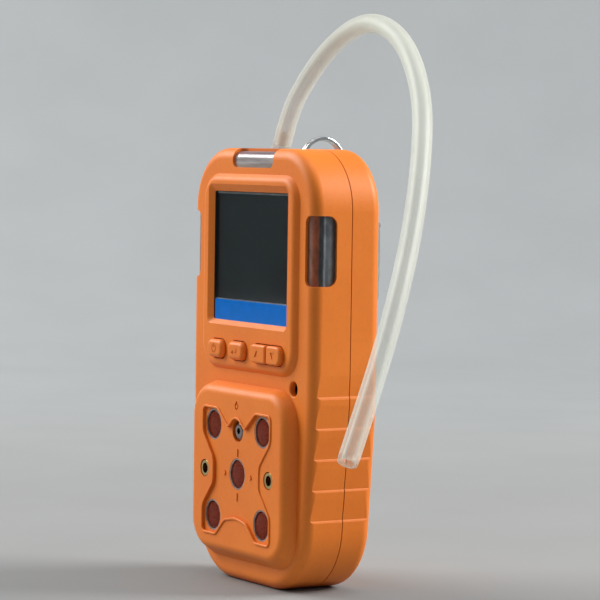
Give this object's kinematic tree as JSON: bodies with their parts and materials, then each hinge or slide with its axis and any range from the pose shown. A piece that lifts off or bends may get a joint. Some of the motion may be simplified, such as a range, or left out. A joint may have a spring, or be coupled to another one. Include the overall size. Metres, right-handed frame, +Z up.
{
  "type": "portable gas detector",
  "caption": "Hand-held gas detector with screen, keys, ported sensor cover, lamp windows, pump with a clear sampling hose, belt clip and strap ring.",
  "frame": {"origin": "centre of the case's flat bottom face, midway between its front and back faces", "axes": "+Z up the case, +Y from the front face to the back, +X to the right of someone reading the screen"},
  "size_m": [0.1757, 0.0904, 0.1806],
  "materials": {
    "case_orange": "fine moulded texture, satin",
    "button_orange": "smooth moulded, satin",
    "seal_rubber": "matt",
    "screw_steel": "turned",
    "insert_brass": "turned, polished",
    "contact_gold": "plated",
    "ring_grey": "translucent, glossy",
    "filter_maroon": "sintered",
    "sensor_white": "moulded",
    "board_green": "solder mask",
    "window_clear": "polished",
    "label_blue": "printed film",
    "screen_dark": "dark display",
    "lens_clear": "clear moulded",
    "lamp_red": "lamp resin",
    "part_black": "moulded",
    "motor_steel": "drawn can",
    "battery_film": "shrink film",
    "hose_clear": "clear flexible tube, slightly yellow",
    "clip_chrome": "bright plated",
    "spring_steel": "drawn wire"
  },
  "bodies": {
    "case": {"front_shell": "case_orange", "rear_shell": "case_orange", "sensor_cover": "case_orange", "case_seal": "seal_rubber", "keypad_mat": "seal_rubber", "sensor_gasket": "seal_rubber", "nozzle_seal": "seal_rubber", "pump_diaphragm": "seal_rubber", "case_screws": "screw_steel", "board_screws": "screw_steel", "cover_screw": "screw_steel", "clip_screws": "screw_steel", "threaded_inserts": "insert_brass", "charging_contacts": "contact_gold", "port_rings": "ring_grey", "port_filters": "filter_maroon", "gas_sensor_1": "sensor_white", "gas_sensor_2": "sensor_white", "gas_sensor_3": "sensor_white", "gas_sensor_4": "sensor_white", "sensor_board": "board_green", "main_board": "board_green", "screen_window": "window_clear", "label_strip": "label_blue", "lcd_panel": "screen_dark", "left_lamp_lens": "lens_clear", "right_lamp_lens": "lens_clear", "top_lamp_lens": "lens_clear", "alarm_leds": "lamp_red", "buzzer": "part_black", "vibration_motor": "motor_steel", "battery_pack": "battery_film", "pump_body": "part_black", "pump_motor": "motor_steel", "inlet_nozzle": "sensor_white", "internal_tube": "hose_clear", "sample_hose": "hose_clear", "clip_plate": "clip_chrome", "clip_pin": "clip_chrome", "clip_spring": "spring_steel", "strap_pin": "screw_steel"},
    "button_power": {"button_power": "button_orange"},
    "button_enter": {"button_enter": "button_orange"},
    "button_up": {"button_up": "button_orange"},
    "button_down": {"button_down": "button_orange"},
    "clip_lever": {"clip_lever": "clip_chrome"},
    "split_ring": {"split_ring": "clip_chrome"},
    "pump_crank": {"pump_crank": "motor_steel"},
    "vibration_weight": {"vibration_weight": "motor_steel"}
  },
  "joints": [
    {"name": "button_power_press", "type": "slide", "parent": "case", "child": "button_power", "axis": [0, 1, 0], "range_m": [0, 0.0008], "stiffness_N_per_m": 1200, "springref_m": -0.0004},
    {"name": "button_enter_press", "type": "slide", "parent": "case", "child": "button_enter", "axis": [0, 1, 0], "range_m": [0, 0.0008], "stiffness_N_per_m": 1200, "springref_m": -0.0004},
    {"name": "button_up_press", "type": "slide", "parent": "case", "child": "button_up", "axis": [0, 1, 0], "range_m": [0, 0.0008], "stiffness_N_per_m": 1200, "springref_m": -0.0004},
    {"name": "button_down_press", "type": "slide", "parent": "case", "child": "button_down", "axis": [0, 1, 0], "range_m": [0, 0.0008], "stiffness_N_per_m": 1200, "springref_m": -0.0004},
    {"name": "clip_open", "type": "hinge", "parent": "case", "child": "clip_lever", "pos_m": [0, 0.02, 0.093], "axis": [1, 0, 0], "range_deg": [0, 25], "stiffness_Nm_per_rad": 0.35, "springref_deg": -22.92},
    {"name": "ring_swing", "type": "hinge", "parent": "case", "child": "split_ring", "pos_m": [0, 0.00833, 0.13563], "axis": [1, 0, 0], "range_deg": [0, 75]},
    {"name": "pump_spin", "type": "hinge", "parent": "case", "child": "pump_crank", "pos_m": [-0.015, 0.0036, 0.1], "axis": [0, 0, 1], "continuous": true},
    {"name": "weight_spin", "type": "hinge", "parent": "case", "child": "vibration_weight", "pos_m": [0.022, 0.004, 0.104], "axis": [1, 0, 0], "continuous": true}
  ]
}
